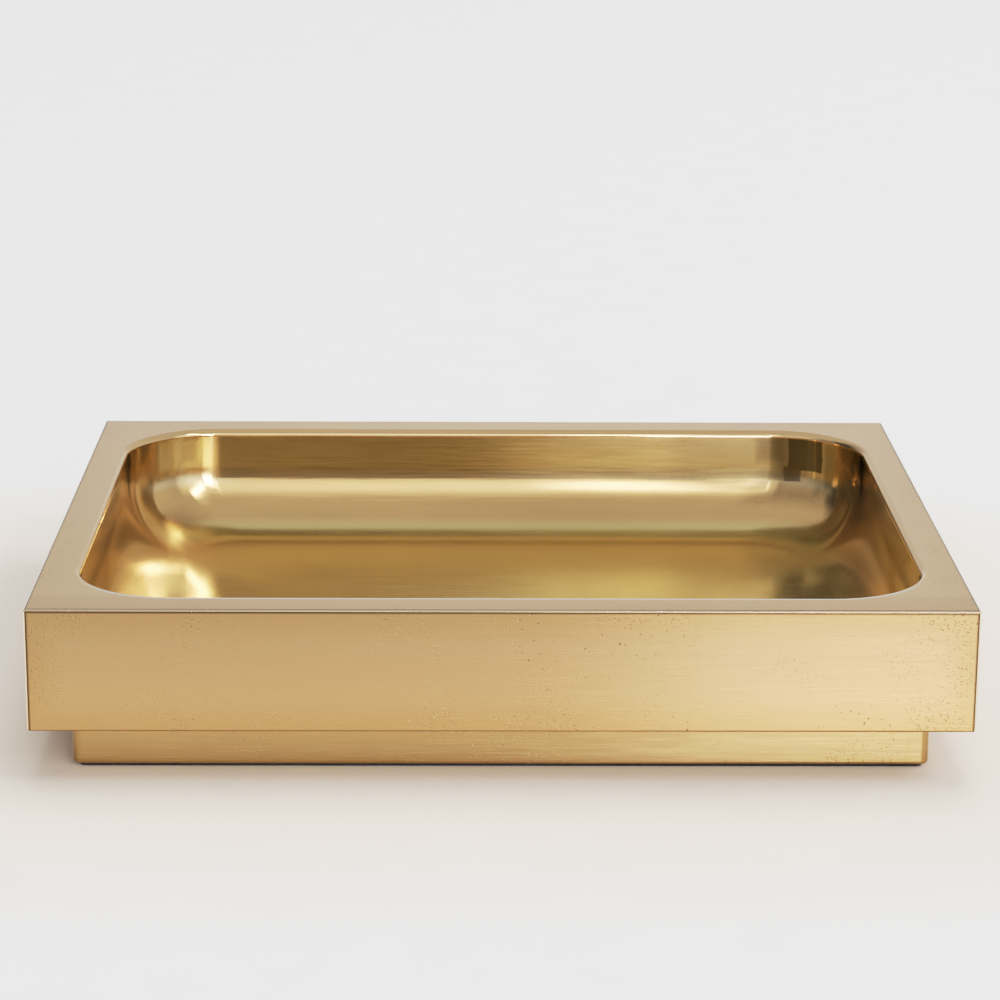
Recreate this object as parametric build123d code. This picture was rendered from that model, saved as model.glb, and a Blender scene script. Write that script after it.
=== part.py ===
from build123d import *
from math import sqrt
import os

# Brass coin tray: a block with a coved basin, on a stepped plinth with a thin pad under it.
# Millimetres. The origin is the middle of the pad's underside, +X runs along the width,
# +Y to the back and +Z up.

# Tray body
tray_width = 180.0
tray_depth = 144.0
side_rim_width = 7.9  # flat rim from the outer face to the basin's wall, left and right
front_rim_width = 8.9  # the same at the front and the back
opening_corner_radius = 19.1
basin_depth = 22.8  # from the rim down to the basin's floor
cove_radius = 14.4  # hollow curve from the basin's wall to its floor
cove_limit_share = 0.95  # most of the corner radius that the cove may take up
lip_radius = 1.4  # rounding between the rim and the basin's wall
floor_thickness = 3.0
block_edge_radius = 0.5

# Spigot under the basin's floor, which drops into the plinth's pocket
spigot_depth = 1.6
spigot_inset = 6.8  # from the basin's wall inwards
spigot_clearance = 0.2
pocket_floor_clearance = 0.3

# Plinth
plinth_height = 9.4
plinth_inset = 7.5  # from the block's face to the plinth's face
plinth_corner_radius = 1.6
plinth_edge_radius = 0.8  # around the foot of the plinth

# Pad under the plinth
pad_thickness = 0.6
pad_inset = 1.0  # from the plinth's face
pad_hole_margin = 0.4  # around each counterbore

# Slotted cheese-head screws
screw_radius = 1.5
screw_engagement = 4.6  # length of thread in the tray body
screw_tip_chamfer = 0.4
screw_head_radius = 2.75
screw_head_height = 2.0
screw_head_edge_radius = 0.35
screw_slot_width = 0.8
screw_slot_depth = 0.85
screw_inset = 1.4  # from the basin's wall inwards, on the diagonal of each corner

# Screw holes
screw_hole_clearance = 0.2
counterbore_clearance = 0.35
counterbore_depth = 4.0
thread_clearance = 0.05
tapped_hole_runout = 0.5  # past the screw's tip

# Length by which a cutting shape runs past the face that it opens
overrun = 1.0

# Levels and sizes worked out from the values above
block_height = basin_depth + floor_thickness - spigot_depth
plinth_foot = pad_thickness
plinth_top = plinth_foot + plinth_height
rim_level = plinth_top + block_height
basin_floor_level = rim_level - basin_depth

plinth_width = tray_width - 2 * plinth_inset
plinth_depth = tray_depth - 2 * plinth_inset
opening_width = tray_width - 2 * side_rim_width
opening_depth = tray_depth - 2 * front_rim_width
spigot_width = opening_width - 2 * spigot_inset
spigot_length = opening_depth - 2 * spigot_inset
spigot_corner_radius = opening_corner_radius - spigot_inset

screw_seat_level = plinth_foot + counterbore_depth
screw_tip_level = plinth_top + screw_engagement
counterbore_radius = screw_head_radius + counterbore_clearance
corner_to_screw = opening_corner_radius - (opening_corner_radius - screw_inset) / sqrt(2)
screw_spacing_x = opening_width - 2 * corner_to_screw
screw_spacing_y = opening_depth - 2 * corner_to_screw


def rounded_plate(width, depth, corner_radius, bottom, top):
    """Upright prism with rounded corners, centred on the tray."""
    outline = RectangleRounded(width, depth, corner_radius)
    return Pos(0, 0, bottom) * extrude(outline, amount=top - bottom)


def upright_pin(radius, bottom, top):
    """Upright cylinder on the Z axis between two levels."""
    return Pos(0, 0, bottom) * Cylinder(
        radius, top - bottom, align=(Align.CENTER, Align.CENTER, Align.MIN)
    )


def at_screws(shape):
    """The shape, made on the Z axis, set at each of the four screws."""
    return [place * shape for place in GridLocations(screw_spacing_x, screw_spacing_y, 2, 2)]


def basin_cavity():
    """The space that the basin encloses, with the cove around its floor."""
    cavity = rounded_plate(
        opening_width,
        opening_depth,
        opening_corner_radius,
        basin_floor_level,
        rim_level + overrun,
    )
    cove = min(cove_radius, cove_limit_share * opening_corner_radius)
    return fillet(cavity.faces().sort_by(Axis.Z)[0].edges(), cove)


def lip_edges(body):
    """The edges where the flat rim meets the basin's wall."""
    rim = body.faces().filter_by(Axis.Z).sort_by(Axis.Z)[-1]
    return rim.inner_wires()[0].edges()


def tray_body():
    """Block with the coved basin, the spigot below it and the tapped holes."""
    block = Pos(0, 0, plinth_top) * Box(
        tray_width, tray_depth, block_height, align=(Align.CENTER, Align.CENTER, Align.MIN)
    )
    block = fillet(block.edges(), block_edge_radius)
    body = block - basin_cavity()
    body = fillet(lip_edges(body), lip_radius)
    spigot = rounded_plate(
        spigot_width,
        spigot_length,
        spigot_corner_radius,
        plinth_top - spigot_depth,
        plinth_top + floor_thickness - spigot_depth,
    )
    body = body + spigot
    tapped_hole = upright_pin(
        screw_radius + thread_clearance,
        plinth_top - overrun,
        screw_tip_level + tapped_hole_runout,
    )
    return body - at_screws(tapped_hole)


def plinth():
    """Base plate with the spigot's pocket on top and the counterbored holes."""
    plate = rounded_plate(
        plinth_width, plinth_depth, plinth_corner_radius, plinth_foot, plinth_top
    )
    plate = fillet(plate.faces().sort_by(Axis.Z)[0].edges(), plinth_edge_radius)
    pocket = rounded_plate(
        spigot_width + 2 * spigot_clearance,
        spigot_length + 2 * spigot_clearance,
        spigot_corner_radius + spigot_clearance,
        plinth_top - spigot_depth - pocket_floor_clearance,
        plinth_top + overrun,
    )
    clearance_hole = upright_pin(
        screw_radius + screw_hole_clearance, plinth_foot, plinth_top + overrun
    )
    counterbore = upright_pin(counterbore_radius, plinth_foot - overrun, screw_seat_level)
    return plate - pocket - at_screws(clearance_hole) - at_screws(counterbore)


def plinth_screw():
    """One slotted cheese-head screw, head down, with its shank as a plain cylinder."""
    head_bottom = screw_seat_level - screw_head_height
    head = upright_pin(screw_head_radius, head_bottom, screw_seat_level)
    head = fillet(head.edges().sort_by(Axis.Z)[0], screw_head_edge_radius)
    slot = Pos(0, 0, head_bottom) * Box(
        2 * (screw_head_radius + overrun),
        screw_slot_width,
        2 * screw_slot_depth,
    )
    shank = upright_pin(screw_radius, screw_seat_level, screw_tip_level)
    shank = chamfer(shank.edges().sort_by(Axis.Z)[-1], screw_tip_chamfer)
    return head + shank - slot


def plinth_screws():
    """The four screws as separate solids."""
    return Compound(at_screws(plinth_screw()))


def base_pad():
    """Thin pad under the plinth, open around each screw."""
    pad = rounded_plate(
        plinth_width - 2 * pad_inset,
        plinth_depth - 2 * pad_inset,
        plinth_corner_radius,
        0,
        pad_thickness,
    )
    screw_opening = upright_pin(
        counterbore_radius + pad_hole_margin, -overrun, pad_thickness + overrun
    )
    return pad - at_screws(screw_opening)


sub_parts = {
    "tray_body": tray_body,
    "plinth": plinth,
    "plinth_screws": plinth_screws,
    "base_pad": base_pad,
}

os.makedirs("parts", exist_ok=True)
for name, make in sub_parts.items():
    export_step(make(), os.path.join("parts", name + ".step"))
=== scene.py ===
import math

import bmesh
import bpy
from mathutils import Matrix, Vector


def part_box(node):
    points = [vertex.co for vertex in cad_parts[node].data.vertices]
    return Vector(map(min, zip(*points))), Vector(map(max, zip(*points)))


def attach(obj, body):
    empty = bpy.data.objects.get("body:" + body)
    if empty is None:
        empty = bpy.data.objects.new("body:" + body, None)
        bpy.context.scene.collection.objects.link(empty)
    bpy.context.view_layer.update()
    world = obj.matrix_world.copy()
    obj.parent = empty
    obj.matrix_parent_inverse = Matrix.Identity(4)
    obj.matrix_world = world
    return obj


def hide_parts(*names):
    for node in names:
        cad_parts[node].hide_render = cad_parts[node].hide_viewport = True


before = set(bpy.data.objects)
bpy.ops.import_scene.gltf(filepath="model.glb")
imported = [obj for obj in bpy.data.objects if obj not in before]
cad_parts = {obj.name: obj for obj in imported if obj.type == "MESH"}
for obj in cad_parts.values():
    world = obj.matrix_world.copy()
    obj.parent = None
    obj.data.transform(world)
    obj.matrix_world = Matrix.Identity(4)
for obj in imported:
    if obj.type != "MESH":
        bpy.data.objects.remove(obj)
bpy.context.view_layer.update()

print("frame loaded")

# Lengths are metres and angles degrees. The sizes of each piece stand in the dictionary beside its code.
mm = 0.001
bodyLow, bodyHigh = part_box("tray_body")
plinthLow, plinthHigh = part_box("plinth")
padLow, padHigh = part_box("base_pad")
screwLow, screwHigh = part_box("plinth_screws")
rimLevel = bodyHigh.z
blockFoot = plinthHigh.z  # where the block ends and the plinth begins
blockLow = Vector((bodyLow.x, bodyLow.y, blockFoot))


# Editing helpers

def clearSelection():
    if bpy.context.mode != "OBJECT":
        bpy.ops.object.mode_set(mode="OBJECT")
    bpy.ops.object.select_all(action="DESELECT")


def makeActive(piece):
    clearSelection()
    piece.select_set(True)
    bpy.context.view_layer.objects.active = piece


def startEditing(piece):
    makeActive(piece)
    bpy.ops.object.mode_set(mode="EDIT")


def pick(piece, kind, test):  # selects the vertices, edges or faces that pass the test
    modes = {"verts": "VERT", "edges": "EDGE", "faces": "FACE"}
    bpy.ops.mesh.select_mode(type=modes[kind])
    bpy.ops.mesh.select_all(action="DESELECT")
    mesh = bmesh.from_edit_mesh(piece.data)
    for item in getattr(mesh, kind):
        if test(item):
            item.select_set(True)
    bmesh.update_edit_mesh(piece.data)


def atLevel(item, level, slack=0.005 * mm):
    return all(abs(v.co.z - level) < slack for v in item.verts)


def bridgeable(edge, levels):  # on one of two neighbouring rings
    return any(atLevel(edge, level, slack=0.0005 * mm) for level in levels)


def dropFaces(piece, test):  # takes faces away and leaves their edges open
    startEditing(piece)
    pick(piece, "faces", test)
    bpy.ops.mesh.delete(type="ONLY_FACE")


def block(name, low, high):  # a box between two corners
    clearSelection()
    bpy.ops.mesh.primitive_cube_add(size=1, location=(low + high) / 2)
    piece = bpy.context.active_object
    piece.name = name
    piece.scale = high - low
    bpy.ops.object.transform_apply(location=True, rotation=True, scale=True)
    return piece


def tube(x, y, radius, low, high, sides=40, ends="NOTHING"):  # upright, open unless told
    clearSelection()
    bpy.ops.mesh.primitive_cylinder_add(
        vertices=sides,
        radius=radius,
        depth=high - low,
        end_fill_type=ends,
        location=(x, y, (low + high) / 2),
    )
    piece = bpy.context.active_object
    bpy.ops.object.transform_apply(location=True, rotation=True, scale=True)
    return piece


def outline(name, width, depth, cornerRadius, level, cornerSteps, sideCuts=0):
    # a level face with rounded corners, whose straight sides may be divided
    clearSelection()
    bpy.ops.mesh.primitive_plane_add(size=1, location=(0, 0, level))
    piece = bpy.context.active_object
    piece.name = name
    piece.scale = (width, depth, 1)
    bpy.ops.object.transform_apply(location=True, rotation=True, scale=True)
    startEditing(piece)
    bpy.ops.mesh.select_all(action="SELECT")
    bpy.ops.mesh.bevel(
        offset=cornerRadius,
        segments=cornerSteps,
        profile=0.5,
        affect="VERTICES",
        clamp_overlap=False,
    )
    if sideCuts:
        pick(piece, "edges", lambda e: e.calc_length() > depth / 2)
        bpy.ops.mesh.subdivide(number_cuts=sideCuts)
    bpy.ops.mesh.select_mode(type="FACE")
    bpy.ops.mesh.select_all(action="SELECT")
    return piece


def sink(distance, rings=1):  # takes the selected face straight down
    for _ in range(rings):
        bpy.ops.mesh.extrude_region_move(
            TRANSFORM_OT_translate={"value": (0, 0, -distance / rings)}
        )


def insetAlong(path):  # steps the selected face through (inwards, down) points
    for (fromIn, fromDown), (toIn, toDown) in zip(path, path[1:]):
        bpy.ops.mesh.inset(
            thickness=toIn - fromIn, depth=fromDown - toDown, use_even_offset=True
        )


def quarterRound(radius, steps, startsLevel):  # as (inwards, down) points
    points = []
    for step in range(steps + 1):
        turn = math.radians(90 * step / steps)
        slow = radius * (1 - math.cos(turn))
        quick = radius * math.sin(turn)
        points.append((quick, slow) if startsLevel else (slow, quick))
    return points


def joinPieces(piece, *others):
    makeActive(piece)
    for other in others:
        other.select_set(True)
    bpy.context.view_layer.objects.active = piece
    bpy.ops.object.join()
    return piece


def fillBetween(piece, level):  # closes the flat between the open edges at one level
    startEditing(piece)
    pick(piece, "edges", lambda e: e.is_boundary and atLevel(e, level))
    bpy.ops.mesh.fill(use_beauty=True)


def useModifier(piece, kind, **values):
    makeActive(piece)
    modifier = piece.modifiers.new(kind.lower(), kind)
    for name, value in values.items():
        setattr(modifier, name, value)
    bpy.ops.object.modifier_apply(modifier=modifier.name)


def finishMesh(piece, smoothAngle=35):  # merges, points outwards and shades
    startEditing(piece)
    bpy.ops.mesh.select_all(action="SELECT")
    bpy.ops.mesh.remove_doubles(threshold=0.001 * mm)
    bpy.ops.mesh.normals_make_consistent(inside=False)
    makeActive(piece)
    bpy.ops.object.shade_smooth_by_angle(angle=math.radians(smoothAngle))
    useModifier(piece, "WEIGHTED_NORMAL", keep_sharp=True, weight=50)
    clearSelection()


# Node helpers

def addNode(tree, kind, **values):
    made = tree.nodes.new(kind)
    for name, value in values.items():
        setattr(made, name, value)
    return made


def feed(tree, socket, value):  # links an output, or sets a number or a colour
    if isinstance(value, bpy.types.NodeSocket):
        tree.links.new(value, socket)
    elif isinstance(value, tuple) and len(value) == 3 and socket.type == "RGBA":
        socket.default_value = (*value, 1)
    else:
        socket.default_value = value


def calc(tree, operation, *values):
    made = addNode(tree, "ShaderNodeMath", operation=operation)
    for socket, value in zip(made.inputs, values):
        feed(tree, socket, value)
    return made.outputs[0]


def fade(tree, value, start, end, low=0.0, high=1.0):  # a soft step from low to high
    made = addNode(tree, "ShaderNodeMapRange", interpolation_type="SMOOTHSTEP")
    for socket, item in zip(made.inputs, (value, start, end, low, high)):
        feed(tree, socket, item)
    return made.outputs[0]


def mixColour(tree, share, first, second, kind="MIX"):
    made = addNode(tree, "ShaderNodeMix", data_type="RGBA", blend_type=kind)
    feed(tree, made.inputs[0], share)
    feed(tree, made.inputs[6], first)
    feed(tree, made.inputs[7], second)
    return made.outputs[2]


def mixNumber(tree, share, first, second):
    made = addNode(tree, "ShaderNodeMix", data_type="FLOAT")
    feed(tree, made.inputs[0], share)
    feed(tree, made.inputs[2], first)
    feed(tree, made.inputs[3], second)
    return made.outputs[0]


def objectPlace(tree):  # x, y and z on the piece
    place = addNode(tree, "ShaderNodeTexCoord").outputs["Object"]
    parts = addNode(tree, "ShaderNodeSeparateXYZ")
    feed(tree, parts.inputs[0], place)
    return parts.outputs


def point(tree, x, y, z):
    made = addNode(tree, "ShaderNodeCombineXYZ")
    for socket, value in zip(made.inputs, (x, y, z)):
        feed(tree, socket, value)
    return made.outputs[0]


def cloud(tree, place, scale, detail=2.0, roughness=0.5, distortion=0.0):  # noise, about 0.5
    made = addNode(tree, "ShaderNodeTexNoise")
    feed(tree, made.inputs["Vector"], place)
    feed(tree, made.inputs["Scale"], scale)
    feed(tree, made.inputs["Detail"], detail)
    feed(tree, made.inputs["Roughness"], roughness)
    feed(tree, made.inputs["Distortion"], distortion)
    return made.outputs[0]


def startGroup(name, inputs, outputs):
    tree = bpy.data.node_groups.new(name, "ShaderNodeTree")
    for label, value in inputs.items():
        made = tree.interface.new_socket(label, in_out="INPUT", socket_type="NodeSocketFloat")
        made.default_value = value
    for label in outputs:
        tree.interface.new_socket(label, in_out="OUTPUT", socket_type="NodeSocketFloat")
    inside = addNode(tree, "NodeGroupInput")
    outside = addNode(tree, "NodeGroupOutput")
    return tree, inside.outputs, outside.inputs


def place(tree, group, **values):  # one use of a group, with its own values
    made = addNode(tree, "ShaderNodeGroup", node_tree=group)
    for label, value in values.items():
        feed(tree, made.inputs[label], value)
    return made.outputs


# Sizes of the tray body

trayShape = dict(
    sideRim=7.9 * mm,  # left and right, from the outer face to the basin's wall
    frontRim=8.9 * mm,  # front and back
    cornerRadius=19.1 * mm,  # of the basin's opening
    coveRadius=14.4 * mm,
    lipRadius=1.4 * mm,
    footCorner=13 * mm,  # corner radius where the cove meets the floor
    edgeDepth=22.6 * mm,  # from the rim to the foot of the cove
    dish=1.5 * mm,  # further drop to the middle of the floor
    edgeRadius=0.5 * mm,  # around the block
    edgeSteps=4,
    spigotInset=6.8 * mm,  # from the basin's wall
    tappedRadius=1.55 * mm,
    tapRunout=0.5 * mm,  # past the screw's tip
    cornerSteps=28,
    sideCuts=34,
    lipSteps=8,
    wallRings=5,
    coveSteps=24,
    floorRings=10,
)
openWidth = bodyHigh.x - bodyLow.x - 2 * trayShape["sideRim"]
openDepth = bodyHigh.y - bodyLow.y - 2 * trayShape["frontRim"]


# Surface effects

def makeBrushGrain():  # fine lines along the block's sides, as a linishing belt leaves them
    tree, given, made = startGroup(
        "brushGrain",
        {"sidePlace": 0.09, "grainWidth": 0.00025, "grainLength": 0.008},
        ("height", "tone"),
    )
    x, y, z = objectPlace(tree)
    edge = calc(tree, "SUBTRACT", given["sidePlace"], 0.4 * mm)
    onSide = calc(tree, "GREATER_THAN", calc(tree, "ABSOLUTE", x), edge)
    along = mixNumber(tree, onSide, x, y)
    across = mixNumber(tree, onSide, y, x)
    heights = []
    for widthTimes, lengthTimes in ((1, 1), (2.2, 1.8)):  # fine scratches, then coarse ones
        width = calc(tree, "MULTIPLY", given["grainWidth"], widthTimes)
        length = calc(tree, "MULTIPLY", given["grainLength"], lengthTimes)
        stretched = point(
            tree,
            calc(tree, "DIVIDE", along, length),
            calc(tree, "DIVIDE", across, width),
            calc(tree, "DIVIDE", z, width),
        )
        heights.append(cloud(tree, stretched, 1.0, 3.0, 0.6))
    fine, coarse = heights
    feed(tree, made["height"], mixNumber(tree, 0.15, fine, coarse))
    strokes = fade(tree, fine, 0.3, 0.7)
    feed(tree, made["tone"], mixNumber(tree, 0.3, strokes, fade(tree, coarse, 0.35, 0.65)))
    return tree


def makeCastPits():  # small smeared pores, gathered in patches
    tree, given, made = startGroup(
        "castPits",
        {"spacing": 0.002, "size": 0.0002, "crowd": 0.4, "patchSize": 0.03},
        ("mask",),
    )
    x, y, z = objectPlace(tree)
    where = point(tree, x, y, z)
    wander = addNode(tree, "ShaderNodeTexNoise")
    feed(tree, wander.inputs["Vector"], where)
    feed(tree, wander.inputs["Scale"], calc(tree, "DIVIDE", 0.3, given["size"]))
    moved = addNode(tree, "ShaderNodeVectorMath", operation="MULTIPLY_ADD")
    feed(tree, moved.inputs[0], wander.outputs["Color"])
    push = calc(tree, "MULTIPLY", given["size"], 2.4)  # far enough to smear each pore
    feed(tree, moved.inputs[1], point(tree, push, push, push))
    feed(tree, moved.inputs[2], where)
    cells = addNode(tree, "ShaderNodeTexVoronoi", feature="F1")
    feed(tree, cells.inputs["Vector"], moved.outputs[0])
    feed(tree, cells.inputs["Scale"], calc(tree, "DIVIDE", 1.0, given["spacing"]))
    away = calc(tree, "MULTIPLY", cells.outputs["Distance"], given["spacing"])
    pore = fade(tree, away, given["size"], calc(tree, "MULTIPLY", given["size"], 0.4))
    patch = cloud(tree, where, calc(tree, "DIVIDE", 1.0, given["patchSize"]), 2.0)
    start = calc(tree, "SUBTRACT", 1.0, given["crowd"])
    gathered = fade(tree, patch, start, calc(tree, "ADD", start, 0.1))
    feed(tree, made["mask"], calc(tree, "MULTIPLY", pore, gathered))
    return tree


def makeEdgeReach():  # 1 on an edge of the block or the plinth, 0 further in than the reach
    tree, given, made = startGroup(
        "edgeReach",
        {"halfWidth": 0.09, "halfDepth": 0.07, "foot": 0.0, "top": 0.03, "reach": 0.002},
        ("mask", "away", "inwards"),
    )
    x, y, z = objectPlace(tree)
    fromSide = calc(tree, "SUBTRACT", given["halfWidth"], calc(tree, "ABSOLUTE", x))
    fromFront = calc(tree, "SUBTRACT", given["halfDepth"], calc(tree, "ABSOLUTE", y))
    fromTop = calc(tree, "SUBTRACT", given["top"], z)
    fromLevel = calc(tree, "MINIMUM", fromTop, calc(tree, "SUBTRACT", z, given["foot"]))
    nearer = calc(tree, "MINIMUM", fromSide, fromFront)
    further = calc(tree, "MAXIMUM", fromSide, fromFront)
    nearest = calc(tree, "MAXIMUM", nearer, calc(tree, "MINIMUM", further, fromLevel))
    feed(tree, made["mask"], fade(tree, nearest, given["reach"], 0.0))
    # the same without the foot, which gets a painted shade line and no painted highlight
    aboveFoot = calc(tree, "MINIMUM", further, fromTop)
    feed(tree, made["away"], calc(tree, "MAXIMUM", nearer, aboveFoot))
    feed(tree, made["inwards"], nearer)
    return tree


def makeOpeningReach():  # how far a point on the rim lies from the basin's lip
    tree, given, made = startGroup(
        "openingReach",
        {
            "halfWidth": openWidth / 2 + trayShape["lipRadius"],
            "halfDepth": openDepth / 2 + trayShape["lipRadius"],
            "cornerRadius": trayShape["cornerRadius"] + trayShape["lipRadius"],
        },
        ("away",),
    )
    x, y, z = objectPlace(tree)
    past = []
    for part, half in ((x, given["halfWidth"]), (y, given["halfDepth"])):
        straight = calc(tree, "SUBTRACT", half, given["cornerRadius"])
        over = calc(tree, "SUBTRACT", calc(tree, "ABSOLUTE", part), straight)
        past.append(calc(tree, "MAXIMUM", over, 0.0))
    reach = addNode(tree, "ShaderNodeVectorMath", operation="LENGTH")
    feed(tree, reach.inputs[0], point(tree, past[0], past[1], 0.0))
    feed(tree, made["away"], calc(tree, "SUBTRACT", reach.outputs["Value"], given["cornerRadius"]))
    return tree


def makeSlowTone():  # broad uneven patches, as handling and age leave on brass
    tree, given, made = startGroup("slowTone", {"patchSize": 0.03, "stretch": 2.0}, ("mask",))
    x, y, z = objectPlace(tree)
    where = point(tree, calc(tree, "DIVIDE", x, given["stretch"]), y, z)
    patches = cloud(tree, where, calc(tree, "DIVIDE", 1.0, given["patchSize"]), 4.0, 0.55)
    feed(tree, made["mask"], fade(tree, patches, 0.32, 0.68))
    return tree


def makeHandPolish():  # the soft waves and faint lines of a buffed hollow
    tree, given, made = startGroup(
        "handPolish",
        {"waveSize": 0.02, "lineWidth": 0.0005, "lineLength": 0.02, "upright": 0.0},
        ("waves", "lines"),
    )
    x, y, z = objectPlace(tree)
    where = point(tree, x, y, z)
    waves = cloud(tree, where, calc(tree, "DIVIDE", 1.0, given["waveSize"]), 1.0, 0.4)
    feed(tree, made["waves"], waves)
    across = mixNumber(tree, given["upright"], given["lineWidth"], given["lineLength"])
    stretched = point(
        tree,
        calc(tree, "DIVIDE", x, given["lineLength"]),
        calc(tree, "DIVIDE", y, across),
        calc(tree, "DIVIDE", z, given["lineWidth"]),
    )
    feed(tree, made["lines"], cloud(tree, stretched, 1.0, 3.0, 0.6))
    return tree


def makePaintedShadePatch():  # one place of painted shade with a ragged or a soft edge
    tree, given, made = startGroup(
        "paintedShadePatch",
        {
            "x": 0.0,
            "y": 0.0,
            "z": 0.0,
            "reachX": 0.01,
            "reachY": 0.01,
            "reachZ": 0.01,
            "ragged": 0.0005,
            "raggedSize": 0.002,
            "soft": 0.2,
        },
        ("mask",),
    )
    parts = objectPlace(tree)
    where = point(tree, *parts)
    wander = addNode(tree, "ShaderNodeTexNoise")
    feed(tree, wander.inputs["Vector"], where)
    feed(tree, wander.inputs["Scale"], calc(tree, "DIVIDE", 1.0, given["raggedSize"]))
    feed(tree, wander.inputs["Detail"], 3.0)
    pushes = addNode(tree, "ShaderNodeSeparateXYZ")
    feed(tree, pushes.inputs[0], wander.outputs["Color"])
    shares = []
    for label, part, push in zip("XYZ", parts, pushes.outputs):
        pushed = calc(tree, "SUBTRACT", push, 0.5)
        moved = calc(tree, "MULTIPLY_ADD", pushed, given["ragged"], part)
        away = calc(tree, "ABSOLUTE", calc(tree, "SUBTRACT", moved, given[label.lower()]))
        shares.append(calc(tree, "DIVIDE", away, given["reach" + label]))
    furthest = calc(tree, "MAXIMUM", calc(tree, "MAXIMUM", shares[0], shares[1]), shares[2])
    inner = calc(tree, "SUBTRACT", 1.0, given["soft"])
    feed(tree, made["mask"], fade(tree, furthest, calc(tree, "ADD", 1.0, given["soft"]), inner))
    return tree


brushGrain = makeBrushGrain()
castPits = makeCastPits()
edgeReach = makeEdgeReach()
openingReach = makeOpeningReach()
slowTone = makeSlowTone()
handPolish = makeHandPolish()
paintedShadePatch = makePaintedShadePatch()
print("surface effects made")


# Materials

def startMaterial(name, metallic=1.0):
    material = bpy.data.materials.new(name)
    material.use_nodes = True
    tree = material.node_tree
    shader = tree.nodes["Principled BSDF"]
    shader.inputs["Metallic"].default_value = metallic
    return material, tree, shader


def giveBump(tree, shader, height):  # the height is in metres
    bump = addNode(tree, "ShaderNodeBump")
    bump.inputs["Strength"].default_value = 1.0
    bump.inputs["Distance"].default_value = 1.0
    feed(tree, bump.inputs["Height"], height)
    feed(tree, shader.inputs["Normal"], bump.outputs[0])


def giveLacquer(shader, finish):  # brushed along the tray, under a thin clear lacquer
    shader.inputs["Anisotropic"].default_value = finish["stretch"]
    shader.inputs["Anisotropic Rotation"].default_value = 0.25  # a quarter turn
    shader.inputs["Coat Weight"].default_value = finish["coat"]
    shader.inputs["Coat Roughness"].default_value = finish["coatRoughness"]


satinFinish = dict(
    brass=(0.55, 0.323, 0.146),
    darker=1.0,  # times the grain's tone
    warm=(0.48, 0.27, 0.10),  # along the edges, where it is partly painted shade along the top, and in the patches
    paintedEdgeHighlight=(0.93, 0.74, 0.50),  # painted highlight on the edge itself
    line=(0.07, 0.035, 0.012),  # painted shade line just inside each edge
    pore=(0.12, 0.06, 0.02),
    paintedLightHigh=(0.85, 0.88, 0.90),  # painted shade along the top and painted light at the foot
    paintedLightLow=(1.06, 1.09, 1.10),
    warmPatch=24 * mm,
    warmStretch=3.0,
    warmInPatch=0.16,
    warmAtEdge=0.7,
    roughness=0.25,
    roughnessChange=0.03,  # up or down with the grain
    paintedEdgeHighlightShine=0.08,  # how much smoother the edge under the painted highlight is
    stretch=1.0,
    coat=0.3,
    coatRoughness=0.25,
    grainWidth=0.22 * mm,
    grainLength=12 * mm,
    grainDepth=0.0006 * mm,
    grainTone=0.03,
    poreSpacing=1.5 * mm,
    poreSize=0.24 * mm,
    poreDepth=0.03 * mm,
    poreCrowd=0.43,
    poreWeight=0.85,
    poreRoughness=0.15,  # how much rougher a pore is
    gritSpacing=0.6 * mm,
    gritSize=0.17 * mm,
    gritCrowd=0.52,
    gritPatch=18 * mm,
    gritWeight=0.6,
    gritAway=0.5,  # its share away from the edges
    edgeBand=8 * mm,
    lineFrom=0.36 * mm,
    lineTo=0.95 * mm,
    lineFade=0.08 * mm,
    lineWeight=1.0,
    paintedEdgeHighlightFade=0.1 * mm,
    footWeight=0.45,  # painted shade line along the lowest edge
)


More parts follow.
